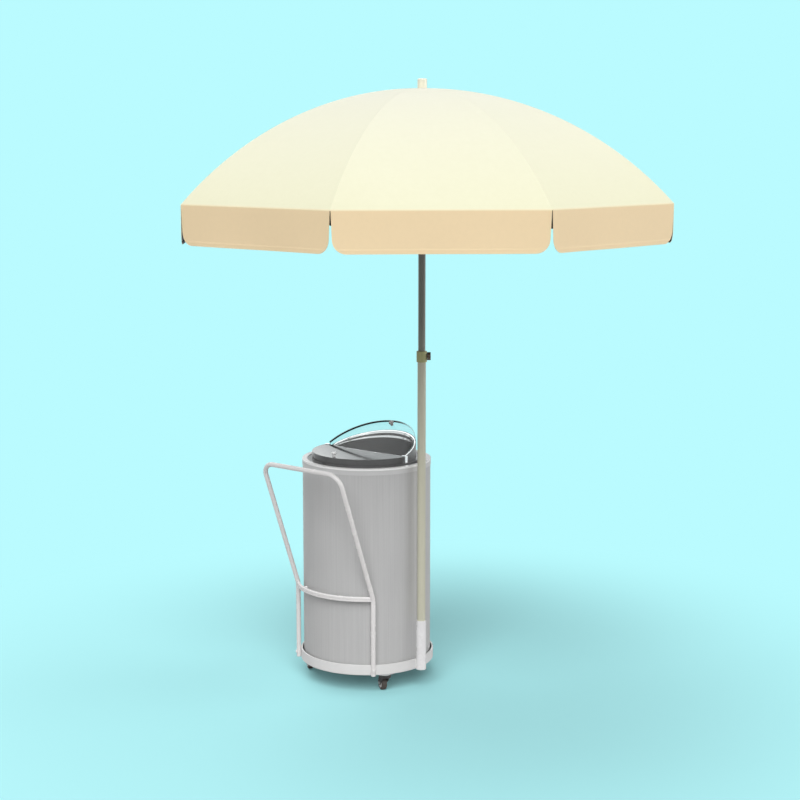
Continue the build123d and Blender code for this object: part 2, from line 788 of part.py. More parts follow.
# Clamp collar on the end of the lower pole
knob_plane = Plane(
    (0, 0, clamp_knob_z),
    x_dir=(0, 0, 1),
    z_dir=(cos(radians(clamp_knob_angle)), sin(radians(clamp_knob_angle)), 0),
)
with BuildPart(Plane((0, 0, clamp_bottom))) as clamp_collar:
    Cylinder(clamp_radius, clamp_top - clamp_bottom, align=on_base)
    fillet(clamp_collar.edges().filter_by(GeomType.CIRCLE), clamp_round)
    Cylinder(upper_pole_radius + slide_gap, clamp_top, align=on_base, mode=Mode.SUBTRACT)
    Cylinder(lower_pole_radius + fit_gap, clamp_grip, align=on_base, mode=Mode.SUBTRACT)
with BuildPart() as clamp_collar_bored:
    add(clamp_collar.part)
    with BuildSketch(knob_plane):
        Circle(clamp_screw_radius + running_gap)
    extrude(amount=2 * clamp_radius, mode=Mode.SUBTRACT)
write(clamp_collar_bored, "clamp_collar")

# Clamp knob: a lobed head on its screw, which bears on the upper pole
screw_start = upper_pole_radius + seat_gap
knob_start = clamp_radius + seat_gap
with BuildPart() as clamp_knob:
    with BuildSketch(knob_plane.offset(screw_start)):
        Circle(clamp_screw_radius)
    extrude(amount=knob_start - screw_start)
    with BuildSketch(knob_plane.offset(knob_start)):
        Circle(clamp_knob_radius - clamp_lobe_radius / 2)
        with PolarLocations(clamp_knob_radius - clamp_lobe_radius, clamp_knob_lobes):
            Circle(clamp_lobe_radius)
    extrude(amount=clamp_knob_thickness)
    far_edges = clamp_knob.faces().sort_by(Axis((0, 0, 0), knob_plane.z_dir))[-1].edges()
    fillet(far_edges, clamp_round)
write(clamp_knob, "clamp_knob")

# Upper pole, which slides in the lower one
with BuildPart(Plane((0, 0, upper_pole_bottom))) as upper_pole:
    Cylinder(upper_pole_radius, upper_pole_top - upper_pole_bottom, align=on_base)
    Cylinder(upper_pole_radius - upper_pole_wall, upper_pole_top, align=on_base, mode=Mode.SUBTRACT)
write(upper_pole, "upper_pole")

# Places of the rib and stretcher pivots in a rib's plane
rib_start = (crown_pivot, shade_apex - rib_top_drop)
rib_mid = shade_point(shade_radius / 2, rib_mid_drop)
rib_end = shade_point(shade_radius - rib_tip_inset, rib_tip_drop)
with BuildLine() as rib_line:
    ThreePointArc(rib_start, rib_mid, rib_end)
rib_arc = rib_line.edge()
rib_arc_centre = rib_arc.arc_center
rib_arc_radius = rib_arc.radius
clevis_tilt = asin((stretcher_share * shade_radius - rib_arc_centre.X) / rib_arc_radius)
clevis_top = (
    rib_arc_centre.X + rib_arc_radius * sin(clevis_tilt),
    rib_arc_centre.Y + rib_arc_radius * cos(clevis_tilt),
)
clevis_pivot = (
    clevis_top[0] - clevis_drop * sin(clevis_tilt),
    clevis_top[1] - clevis_drop * cos(clevis_tilt),
)
runner_end = (runner_pivot, runner_pivot_z)

# Crown: the hub that holds the ribs, with a pivot pin across each slot
crown_bottom = crown_top - crown_height
crown_slot = eye_width + 2 * crown_slot_gap
with BuildPart(Plane((0, 0, crown_bottom))) as crown:
    Cylinder(crown_radius, crown_height, align=on_base)
    Cylinder(upper_pole_radius + fit_gap, upper_pole_top - crown_bottom, align=on_base, mode=Mode.SUBTRACT)
    for number in range(rib_count):
        plane = radial_plane(rib_first_angle + number * rib_step)
        slot_height = crown_height - crown_top_plate
        slot_floor = crown_pivot - eye_radius - slide_gap
        with BuildSketch(plane.offset(-crown_slot / 2)):
            with Locations((slot_floor, crown_bottom)):
                Rectangle(crown_radius, slot_height, align=(Align.MIN, Align.MIN))
        extrude(amount=crown_slot, mode=Mode.SUBTRACT)
    for number in range(rib_count):
        plane = radial_plane(rib_first_angle + number * rib_step)
        with BuildSketch(plane.offset(-crown_slot / 2 - fit_gap)):
            with Locations(rib_start):
                Circle(pin_radius)
        extrude(amount=crown_slot + 2 * fit_gap)
write(crown, "crown")

# Finial on top of the shade
with BuildPart(Plane((0, 0, crown_top))) as finial:
    stem_height = shade_apex + seat_gap - crown_top
    Cylinder(finial_stem_radius, stem_height, align=on_base)
    with Locations((0, 0, stem_height)):
        Cylinder(finial_radius, finial_height, align=on_base)
    fillet(finial.edges().filter_by(GeomType.CIRCLE).sort_by(Axis.Z)[-1], finial_round)
write(finial, "finial")

# Runner: the sleeve that slides on the upper pole and carries the stretchers
runner_radius = upper_pole_radius + slide_gap + runner_wall
runner_slot = tongue_width + 2 * runner_slot_gap
with BuildPart(Plane((0, 0, runner_pivot_z))) as runner:
    Cylinder(runner_radius, runner_length)
    Cylinder(runner_flange_radius, runner_flange)
    with Locations((0, 0, -runner_length / 2)):
        Cylinder(runner_grip_radius, runner_grip, align=on_base)
    Cylinder(upper_pole_radius + slide_gap, runner_length, mode=Mode.SUBTRACT)
    for number in range(rib_count):
        plane = radial_plane(rib_first_angle + number * rib_step)
        with BuildSketch(plane.offset(-runner_slot / 2)):
            with Locations((runner_slot_floor, runner_pivot_z)):
                Rectangle(runner_flange_radius, runner_flange, align=(Align.MIN, Align.CENTER))
        extrude(amount=runner_slot, mode=Mode.SUBTRACT)
write(runner, "runner")

clevis_inner = tongue_width / 2 + tongue_gap
clevis_outer = clevis_inner + clevis_wall

for number in range(rib_count):
    plane = radial_plane(rib_first_angle + number * rib_step)
    # Rib: a curved rod with an eye at the crown and a clevis for its stretcher
    with BuildPart() as rib:
        with BuildLine(plane) as path:
            ThreePointArc(rib_start, rib_mid, rib_end)
        with BuildSketch(Plane(path.line @ 0, z_dir=path.line % 0)):
            Circle(rib_radius)
        sweep(path=path.line)
        with BuildSketch(plane.offset(-eye_width / 2)):
            with Locations(rib_start):
                Circle(eye_radius)
        extrude(amount=eye_width)
        for start in (-clevis_outer, clevis_inner):
            with BuildSketch(plane.offset(start)):
                with Locations(clevis_top, clevis_pivot):
                    Circle(clevis_radius)
                make_hull()
            extrude(amount=clevis_wall)
        with BuildSketch(plane.offset(-clevis_outer)):
            with Locations(clevis_pivot):
                Circle(clevis_pin_radius)
        extrude(amount=2 * clevis_outer)
        with BuildSketch(plane.offset(-eye_width)):
            with Locations(rib_start):
                Circle(pin_radius + running_gap)
        extrude(amount=2 * eye_width, mode=Mode.SUBTRACT)
    write(rib, f"rib_{number + 1}")

    # Stretcher: a straight rod from the rib's clevis to the runner's slot
    with BuildPart() as stretcher:
        with BuildLine(plane) as path:
            Line(clevis_pivot, runner_end)
        with BuildSketch(Plane(path.line @ 0, z_dir=path.line % 0)):
            Circle(stretcher_radius)
        sweep(path=path.line)
        with BuildSketch(plane.offset(-tongue_width / 2)):
            with Locations(clevis_pivot, runner_end):
                Circle(tongue_radius)
        extrude(amount=tongue_width)
        with BuildSketch(plane.offset(-tongue_width)):
            with Locations(clevis_pivot):
                Circle(clevis_pin_radius + running_gap)
        extrude(amount=2 * tongue_width, mode=Mode.SUBTRACT)
    write(stretcher, f"stretcher_{number + 1}")

    # Shade panel: a gore between two ribs with its hanging flap
    with BuildPart() as shade_panel:
        for angle in (0, rib_step):
            with BuildSketch(radial_plane(rib_first_angle + number * rib_step + angle)):
                with BuildLine():
                    top = [shade_point(r) for r in (shade_hole, shade_radius / 2, shade_radius)]
                    under = [shade_point(r, cloth) for r in (shade_radius, shade_radius / 2, shade_hole)]
                    ThreePointArc(*top)
                    Line(top[-1], under[0])
                    ThreePointArc(*under)
                    Line(under[-1], top[0])
                make_face()
        loft(ruled=True)
        middle = radians(rib_first_angle + (number + 0.5) * rib_step)
        outward = (cos(middle), sin(middle), 0)
        hem_reach = shade_radius * cos(radians(rib_step / 2))
        hem_half = shade_radius * sin(radians(rib_step / 2)) - valance_inset
        hem_spot = (hem_reach * outward[0], hem_reach * outward[1], shade_rim)
        with BuildSketch(Plane(hem_spot, x_dir=(-outward[1], outward[0], 0), z_dir=outward)):
            with BuildLine():
                Polyline(
                    (-hem_half, -hem_lap),
                    (hem_half, -hem_lap),
                    (hem_half - valance_taper, -valance_drop),
                    (valance_taper - hem_half, -valance_drop),
                    close=True,
                )
            face = make_face()
            fillet(face.vertices().group_by(Axis.Z)[0], valance_round)
        extrude(amount=-cloth)
    write(shade_panel, f"shade_panel_{number + 1}")
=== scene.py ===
import json
import math
from collections import namedtuple

import bmesh
import bpy
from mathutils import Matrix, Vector


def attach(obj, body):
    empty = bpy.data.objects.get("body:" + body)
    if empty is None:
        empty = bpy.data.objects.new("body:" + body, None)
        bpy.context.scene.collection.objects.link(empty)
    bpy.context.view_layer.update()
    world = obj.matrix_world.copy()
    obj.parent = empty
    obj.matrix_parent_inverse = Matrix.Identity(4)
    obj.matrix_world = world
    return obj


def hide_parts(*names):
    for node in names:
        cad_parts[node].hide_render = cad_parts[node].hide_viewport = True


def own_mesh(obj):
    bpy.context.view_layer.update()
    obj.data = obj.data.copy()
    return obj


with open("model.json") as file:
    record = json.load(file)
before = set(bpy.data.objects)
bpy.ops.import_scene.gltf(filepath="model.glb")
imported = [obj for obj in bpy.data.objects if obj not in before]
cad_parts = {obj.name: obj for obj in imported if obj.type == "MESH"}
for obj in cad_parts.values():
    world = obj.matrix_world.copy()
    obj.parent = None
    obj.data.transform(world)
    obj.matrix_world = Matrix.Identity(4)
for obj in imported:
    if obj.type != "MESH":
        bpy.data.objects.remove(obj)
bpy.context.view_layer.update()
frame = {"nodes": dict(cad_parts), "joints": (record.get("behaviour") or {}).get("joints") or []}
nodes = frame["nodes"]
joints = {joint["name"]: joint for joint in frame["joints"]}

UP = Vector((0.0, 0.0, 1.0))
QUARTER_TURN = math.pi / 2

# Sizes shared with the solids, in metres
RIB_COUNT = 8
RIB_STEP = 2 * math.pi / RIB_COUNT
HALF_STEP = RIB_STEP / 2
SHADE_TURN = math.radians(0.75)
RIB_FIRST = HALF_STEP - SHADE_TURN
SHADE_RADIUS = 0.832
SHADE_RIM = 1.666
SHADE_RISE = 0.363
SHADE_HOLE = 0.013
SHADE_ARC = (SHADE_RADIUS**2 + SHADE_RISE**2) / (2 * SHADE_RISE)
SHADE_CENTRE = SHADE_RIM + SHADE_RISE - SHADE_ARC
CLOTH = 0.0012
FLAP_DROP = 0.125
FLAP_INSET = 0.0016
FLAP_TAPER = 0.005
FLAP_ROUND = 0.040
DRUM_X = -0.2486
DRUM_BOTTOM = 0.070
DRUM_TOP = 0.7774
LID_FLAP_RADIUS = 0.182
LID_FLAP_RIM = 0.004
LID_FLAP_SLOPE = math.radians(27.0)
CASTER_COUNT = 3

# Shape of the sewn cloth, in metres, radians and counts
SAG = 0.001
FOLD_RADIUS = 0.007
HEM_WIDTH = 0.012
HEM_STEP = 0.0005
HEM_PROUD = 0.0003
WAVE = 0.0022
WAVE_LENGTH = 0.43
WAVE_SHIFT = 1.7
WAVE_GROWTH = 1.5
GORE_ROWS = 30
FLAP_ROWS = 12
CORNER_ROWS = 8
FOLD_ROWS = 5
HALF_COLUMNS = 12
SIDE_NAMES = ("near", "far")

# Weave and stitching of the cloth, in metres and shares
WEAVE_PITCH = 0.0011
WEAVE_SHARE = 0.35
SLUB_SHARE = 0.5
SEAM_OFFSET = 0.005
HEM_STITCH = HEM_WIDTH - 0.002
RIM_STITCH = FLAP_DROP + 0.012
STITCH_LENGTH = 0.0045
STITCH_SHARE = 0.68
STITCH_HALF_WIDTH = 0.0006
STITCH_TINT = 0.06
THREAD = (0.60, 0.50, 0.33)
FLAP_TONE_FULL = FLAP_DROP - 0.003
FLAP_TONE_NONE = FLAP_DROP + 0.004
RIM_TONE_START = 0.25

# How the noise in a finish is squeezed along x, y and z
EVEN = (1.0, 1.0, 1.0)
UPRIGHT = (60.0, 60.0, 1.0)
BRUSHING = (260.0, 260.0, 2.2)

# Finish of the drum and its rim
BROAD_SHARE = 0.2
BRUSHED_SHARE = 0.45
POWDER_SHARE = 0.35
# The drum is darker and greyer in patches from the tray up to these heights
LOW_GREY_FULL = DRUM_BOTTOM + 0.03
LOW_GREY_NONE = DRUM_BOTTOM + 0.10
LOW_GREY_TINT = 0.10
LOW_GREY_COLOUR = (0.36, 0.355, 0.34)
# Below these heights the rim's upright skirt is painted grey as painted shade; above them its edge is white
SKIRT_TOP = DRUM_TOP - 0.0066
EDGE_BOTTOM = DRUM_TOP - 0.0058

# Finish of the clear flap's rim, from its end painted dark as painted shade, for the dark look of an edge
# seen end-on, to its clear end
DARK_PAINTED_END = DRUM_X + 0.010
CLEAR_END = DRUM_X + 0.060
CLEAR_ALPHA = 0.33
DARK_PAINTED_ALPHA_MORE = 0.62

# Uneven gloss of coated things
GLOSS_FINER = 5
SMOOTHEST = 0.02

# Where a solid takes a second material
AXLE_REACH = 0.0052
HOOD_INSIDE = 0.1775
FACING_INWARD = -0.5
RIM_SLACK = 0.0005

# Floor and surroundings
PALE = (0.491, 0.965, 1.0)
# Painted shade: the floor near the object is painted a darker pale than the background it fades into
PALE_PAINTED_SHADE = (0.452, 0.888, 0.920)
NEUTRAL = (0.45, 0.45, 0.45)
MIRRORED = (0.87, 0.935, 0.945)
WHITE = (1.0, 1.0, 1.0)
FLOOR_REACH = 40.0
FLOOR_GAP = 0.0004
# The painted shade near the object gives way to the background's glow between these distances
FADE_START = 0.7
FADE_END = 2.2
SKY_LOW = 0.05
SKY_HIGH = 0.14
SKY_LOW_END = 0.1
SKY_HIGH_START = 0.8

# Camera at the photograph's place
CAMERA_PLACE = Vector((3.6578, -4.3488, 1.8741))
VIEW_PLAN = Vector((-0.6534, 0.7570, 0.0)).normalized()
VIEW_PITCH = math.radians(8.73)
RIGHT = Vector((VIEW_PLAN.y, -VIEW_PLAN.x, 0.0))
LENS = 77.28
SENSOR = 36.0


class Nodes:
    """A node tree under construction, with short ways to add and join nodes."""

    MIX_COLOURS = (6, 7)
    MIX_RESULT = 2

    def __init__(self, tree):
        self.tree = tree
        self.tree.nodes.clear()

    def give(self, socket, value):
        """Join another node's socket to this one, or set this one's own value."""
        if isinstance(value, bpy.types.NodeSocket):
            self.tree.links.new(value, socket)
        else:
            socket.default_value = value

    def add(self, kind, inputs=None, **settings):
        node = self.tree.nodes.new(kind)
        for name, value in settings.items():
            setattr(node, name, value)
        for name, value in (inputs or {}).items():
            self.give(node.inputs[name], value)
        return node

    def math(self, operation, first, second=0.5, third=0.0):
        node = self.add("ShaderNodeMath", {0: first, 1: second, 2: third}, operation=operation)
        return node.outputs[0]

    def weighted(self, *parts):
        """The sum of the values, each times its share."""
        total = 0.0
        for value, share in parts:
            total = self.math("MULTIPLY_ADD", value, share, total)
        return total

    def coords(self, kind="Object"):
        return self.add("ShaderNodeTexCoord").outputs[kind]

    def axes(self, vector):
        return self.add("ShaderNodeSeparateXYZ", {0: vector}).outputs

    def place(self, stretch=EVEN):
        return self.add("ShaderNodeMapping", {"Vector": self.coords(), "Scale": stretch}).outputs[0]

    def noise(self, scale, detail=3.0, rough=0.55, stretch=EVEN):
        inputs = {"Vector": self.place(stretch), "Scale": scale, "Detail": detail, "Roughness": rough}
        return self.add("ShaderNodeTexNoise", inputs).outputs["Fac"]

    def tones(self, fac, dark, light, start=0.3, end=0.7):
        """A colour from dark to light while the value goes from start to end."""
        node = self.add("ShaderNodeValToRGB", {"Fac": fac})
        stops = ((start, dark), (end, light))
        for element, (position, colour) in zip(node.color_ramp.elements, stops):
            element.position = position
            element.color = (*colour, 1.0)
        return node.outputs["Color"]

    def span(self, value, low, high, start=0.3, end=0.7, curve="LINEAR"):
        """A number from low to high while the value goes from start to end."""
        inputs = {"Value": value, "From Min": start, "From Max": end, "To Min": low, "To Max": high}
        return self.add("ShaderNodeMapRange", inputs, interpolation_type=curve).outputs["Result"]

    def mix(self, fac, first, second):
        """A colour between two, each of them a socket or a plain colour."""
        node = self.add("ShaderNodeMix", {0: fac}, data_type="RGBA")
        for index, value in zip(self.MIX_COLOURS, (first, second)):
            plain = isinstance(value, tuple)
            self.give(node.inputs[index], (*value, 1.0) if plain else value)
        return node.outputs[self.MIX_RESULT]

    def mix_shaders(self, fac, first, second):
        return self.add("ShaderNodeMixShader", {0: fac, 1: first, 2: second}).outputs[0]

    def bump(self, height, distance, strength=1.0, below=None):
        inputs = {"Height": height, "Distance": distance, "Strength": strength}
        if below is not None:
            inputs["Normal"] = below
        return self.add("ShaderNodeBump", inputs).outputs["Normal"]


class Shader(Nodes):
    """A material with one principled surface."""

    def __init__(self, name):
        self.material = bpy.data.materials.new(name)
        self.material.use_nodes = True
        super().__init__(self.material.node_tree)
        self.bsdf = self.add("ShaderNodeBsdfPrincipled")
        self.add("ShaderNodeOutputMaterial", {0: self.bsdf.outputs[0]})

    def surface(self, **inputs):
        """Set or feed the surface's inputs, and give back the finished material."""
        for name, value in inputs.items():
            self.give(self.bsdf.inputs[name.replace("_", " ")], value)
        return self.material


def shade(colour, factor):
    """A colour made lighter or darker, kept within white."""
    return tuple(min(1.0, channel * factor) for channel in colour)


def coated(name, colour, rough, vary=0.05, blotch=6.0, grain=700.0, grain_depth=0.00004, spread=0.06,
           stretch=EVEN, **fixed):
    """Paint, plastic or metal with uneven tone, uneven gloss and a fine surface grain."""
    made = Shader(name)
    tone = made.noise(blotch, stretch=stretch)
    gloss = made.noise(blotch * GLOSS_FINER, detail=4.0, stretch=stretch)
    pits = made.noise(grain, detail=2.0, stretch=stretch)
    return made.surface(
        Base_Color=made.tones(tone, dark=shade(colour, 1 - vary), light=shade(colour, 1 + vary)),
        Roughness=made.span(gloss, low=max(SMOOTHEST, rough - spread), high=rough + spread),
        Normal=made.bump(pits, distance=grain_depth),
        **fixed,
    )


def drum_finish():
    """Satin grey sheet with a fine upright brushing and a powdery grain, darker and greyer in patches low
    down, near the tray.
    """
    made = Shader("drum_satin_grey")
    brushed = made.noise(scale=1.0, detail=5.0, rough=0.7, stretch=BRUSHING)
    powder = made.noise(scale=900.0, detail=2.0)
    broad = made.noise(scale=3.5, detail=2.0)
    tone = made.weighted((broad, BROAD_SHARE), (brushed, BRUSHED_SHARE), (powder, POWDER_SHARE))
    grey = made.tones(tone, dark=(0.473, 0.473, 0.473), light=(0.566, 0.566, 0.564), start=0.36, end=0.64)
    height = made.axes(made.coords())["Z"]
    # Darker, greyer patches towards the bottom of the drum, near the tray
    near_tray = made.span(height, low=1.0, high=0.0, start=LOW_GREY_FULL, end=LOW_GREY_NONE)
    low_grey_patches = made.math("MULTIPLY", near_tray, made.noise(scale=55.0, detail=5.0))
    brush_marks = made.bump(brushed, distance=0.00005, strength=0.5)
    return made.surface(
        Base_Color=made.mix(made.math("MULTIPLY", low_grey_patches, LOW_GREY_TINT), grey, LOW_GREY_COLOUR),
        Roughness=made.span(brushed, low=0.40, high=0.52),
        Normal=made.bump(powder, distance=0.00006, strength=0.7, below=brush_marks),
        Metallic=0.0,
        Specular_IOR_Level=0.5,
    )


def rim_finish():
    """White ring whose upright skirt below the rounded edge is painted grey as painted shade; skirt and edge
    are the same white plastic.
    """
    made = Shader("rim_white_skirt_painted_shade")
    height = made.axes(made.coords())["Z"]
    tone = made.noise(scale=14.0)
    # Painted shade: the upright skirt is the rim's white plastic painted grey
    skirt_painted_shade = made.tones(tone, dark=(0.58, 0.58, 0.58), light=(0.62, 0.62, 0.618))
    edge = made.tones(tone, dark=(0.91, 0.91, 0.905), light=(0.94, 0.94, 0.935))
    is_edge = made.span(height, low=0.0, high=1.0, start=SKIRT_TOP, end=EDGE_BOTTOM)
    return made.surface(
        Base_Color=made.mix(is_edge, skirt_painted_shade, edge),
        Roughness=made.span(made.noise(scale=60.0, detail=4.0), low=0.28, high=0.40),
        Normal=made.bump(made.noise(scale=700.0, detail=2.0), distance=0.00001),
    )


def clear_finish():
    """Clear moulded sheet with faint waves in its surface."""
    made = Shader("clear_sheet")
    tone = made.noise(scale=5.0)
    return made.surface(
        Base_Color=made.tones(tone, dark=(0.012, 0.026, 0.030), light=(0.020, 0.036, 0.040)),
        Roughness=made.span(made.noise(scale=40.0), low=0.02, high=0.05),
        Normal=made.bump(made.noise(scale=9.0, detail=1.0), distance=0.0004, strength=0.25),
        Alpha=0.08,
        IOR=1.9,
    )


def clear_rim_finish():
    """Raised rim of the clear sheet: painted dark and less clear at one end as painted shade of an edge seen
    end-on, pale and clear at the other.
    """
    made = Shader("clear_rim")
    across = made.axes(made.coords())["X"]
    # Painted shade: the rim is dark at this end for the dark look of the sheet's edge seen end-on
    painted_dark_edge = made.span(across, low=1.0, high=0.0, start=DARK_PAINTED_END, end=CLEAR_END)
    wave = made.noise(scale=30.0)
    dark = made.tones(wave, dark=(0.004, 0.020, 0.024), light=(0.008, 0.030, 0.034))
    light = made.tones(wave, dark=(0.42, 0.56, 0.57), light=(0.52, 0.66, 0.67))
    return made.surface(
        Base_Color=made.mix(painted_dark_edge, light, dark),
        Alpha=made.math("MULTIPLY_ADD", painted_dark_edge, DARK_PAINTED_ALPHA_MORE, CLEAR_ALPHA),
        Roughness=made.span(wave, low=0.05, high=0.12),
    )


def foam_finish():
    """Yellowish foam with fine cells."""
    made = Shader("foam_cells")
    cells = made.add("ShaderNodeTexVoronoi", {"Vector": made.place(), "Scale": 420.0}).outputs["Distance"]
    return made.surface(
        Base_Color=made.tones(cells, dark=(0.70, 0.64, 0.46), light=(0.86, 0.81, 0.64), start=0.1, end=0.6),
        Normal=made.bump(cells, distance=0.0005),
        Roughness=0.9,
    )


# One row of points across a gore: its place, half its width, the run from the crown, the height above the hem
Row = namedtuple("Row", "reach height half run above part")


def gore_rows():
    """The cloth from crown to hem: the dome, the fold at the rim and the flap with its round corners."""
    slope = math.asin(SHADE_RADIUS / SHADE_ARC)
    fall = math.atan2(math.sin(slope), math.cos(HALF_STEP) * math.cos(slope))
    turn = QUARTER_TURN - fall
    back = FOLD_RADIUS * math.tan(turn / 2)
    rim_reach = SHADE_RADIUS * math.cos(HALF_STEP)
    rim_half = SHADE_RADIUS * math.sin(HALF_STEP)
    path = []
    radius_end = SHADE_RADIUS - back * math.cos(fall) / math.cos(HALF_STEP)
    for row in range(GORE_ROWS + 1):
        radius = SHADE_HOLE + (radius_end - SHADE_HOLE) * row / GORE_ROWS
        height = SHADE_CENTRE + math.sqrt(SHADE_ARC**2 - radius**2)
        path.append((radius * math.cos(HALF_STEP), height, radius * math.sin(HALF_STEP), "top"))
    for row in range(1, FOLD_ROWS + 1):
        share = row / FOLD_ROWS
        angle = turn - turn * share
        reach = rim_reach - FOLD_RADIUS + FOLD_RADIUS * math.cos(angle)
        height = SHADE_RIM - back + FOLD_RADIUS * math.sin(angle)
        path.append((reach, height, rim_half - FLAP_INSET * share, "flap"))
    flat_end = FLAP_DROP - FLAP_ROUND
    hem_line = FLAP_DROP - HEM_WIDTH
    drops = [hem_line - HEM_STEP, hem_line + HEM_STEP]
    for row in range(1, FLAP_ROWS + 1):
        drops.append(back + (flat_end - back) * row / FLAP_ROWS)
    for row in range(1, CORNER_ROWS + 1):
        drops.append(flat_end + FLAP_ROUND * math.sin(QUARTER_TURN * row / CORNER_ROWS))
    for drop in sorted(drops):
        half = rim_half - FLAP_INSET - FLAP_TAPER * drop / FLAP_DROP
        if drop > flat_end:
            half += math.sqrt(max(0.0, FLAP_ROUND**2 - (drop - flat_end)**2)) - FLAP_ROUND
        path.append((rim_reach, SHADE_RIM - drop, half, "flap"))
    rows = []
    run = 0.0
    for reach, height, half, part in path:
        if rows:
            run += math.hypot(reach - rows[-1].reach, height - rows[-1].height)
        rows.append(Row(reach, height, half, run, height - (SHADE_RIM - FLAP_DROP), part))
    return rows


ROWS = gore_rows()
TOP_LENGTH = max(row.run for row in ROWS if row.part == "top")


def cloth_finish():
    """Woven cream cloth, warmer on the hanging flaps, with lockstitch along its seams and hems."""
    made = Shader("shade_cloth_cream")
    flat = made.axes(made.add("ShaderNodeUVMap", uv_map="flat").outputs[0])
    across, along = flat["X"], flat["Y"]
    edge = made.axes(made.add("ShaderNodeUVMap", uv_map="edge").outputs[0])
    side, hem = edge["X"], edge["Y"]

    def threads(distance):
        return made.math("SINE", made.math("MULTIPLY", distance, 2 * math.pi / WEAVE_PITCH))

    def stitches(distance, run, offset):
        from_line = made.math("ABSOLUTE", made.math("SUBTRACT", distance, offset))
        on_line = made.math("LESS_THAN", from_line, STITCH_HALF_WIDTH)
        step = made.math("FRACT", made.math("DIVIDE", run, STITCH_LENGTH))
        return made.math("MULTIPLY", on_line, made.math("LESS_THAN", step, STITCH_SHARE))

    slub = made.noise(scale=60.0, detail=4.0)
    broad = made.noise(scale=2.2, detail=3.0)
    tone = made.weighted((broad, 1 - SLUB_SHARE), (slub, SLUB_SHARE))
    crown = made.tones(tone, dark=(0.858, 0.853, 0.712), light=(0.877, 0.873, 0.736), start=0.35, end=0.65)
    rim = made.tones(tone, dark=(0.858, 0.848, 0.618), light=(0.877, 0.868, 0.642), start=0.35, end=0.65)
    flap = made.tones(tone, dark=(0.925, 0.735, 0.462), light=(0.95, 0.755, 0.477), start=0.35, end=0.65)
    outer = made.span(along, low=0.0, high=1.0, start=RIM_TONE_START * TOP_LENGTH, end=TOP_LENGTH)
    is_flap = made.span(hem, low=1.0, high=0.0, start=FLAP_TONE_FULL, end=FLAP_TONE_NONE)
    colour = made.mix(is_flap, made.mix(outer, crown, rim), flap)
    sewn = stitches(side, along, SEAM_OFFSET)
    sewn = made.math("MAXIMUM", sewn, stitches(side, along, SEAM_OFFSET * 2))
    for offset in (HEM_STITCH, RIM_STITCH):
        sewn = made.math("MAXIMUM", sewn, stitches(hem, across, offset))
    weave = made.math("MULTIPLY", threads(across), threads(along))
    height = made.math("MULTIPLY_ADD", weave, WEAVE_SHARE, slub)
    return made.surface(
        Base_Color=made.mix(made.math("MULTIPLY", sewn, STITCH_TINT), colour, THREAD),
        Normal=made.bump(height, distance=0.00012, strength=0.6),
        Roughness=made.span(slub, low=0.72, high=0.86),
        Sheen_Weight=0.12,
        Sheen_Roughness=0.5,
        Specular_IOR_Level=0.25,
    )


def lining_finish():
    """The dark coated underside of the cloth."""
    made = Shader("shade_lining_black")
    slub = made.noise(scale=80.0, detail=4.0)
    return made.surface(
        Base_Color=made.tones(slub, dark=(0.012, 0.012, 0.012), light=(0.022, 0.022, 0.021)),
        Roughness=made.span(slub, low=0.48, high=0.62),
        Normal=made.bump(made.noise(scale=1400.0, detail=1.0), distance=0.00006),
        Specular_IOR_Level=0.35,
    )


cloth_cream = cloth_finish()
cloth_lining = lining_finish()

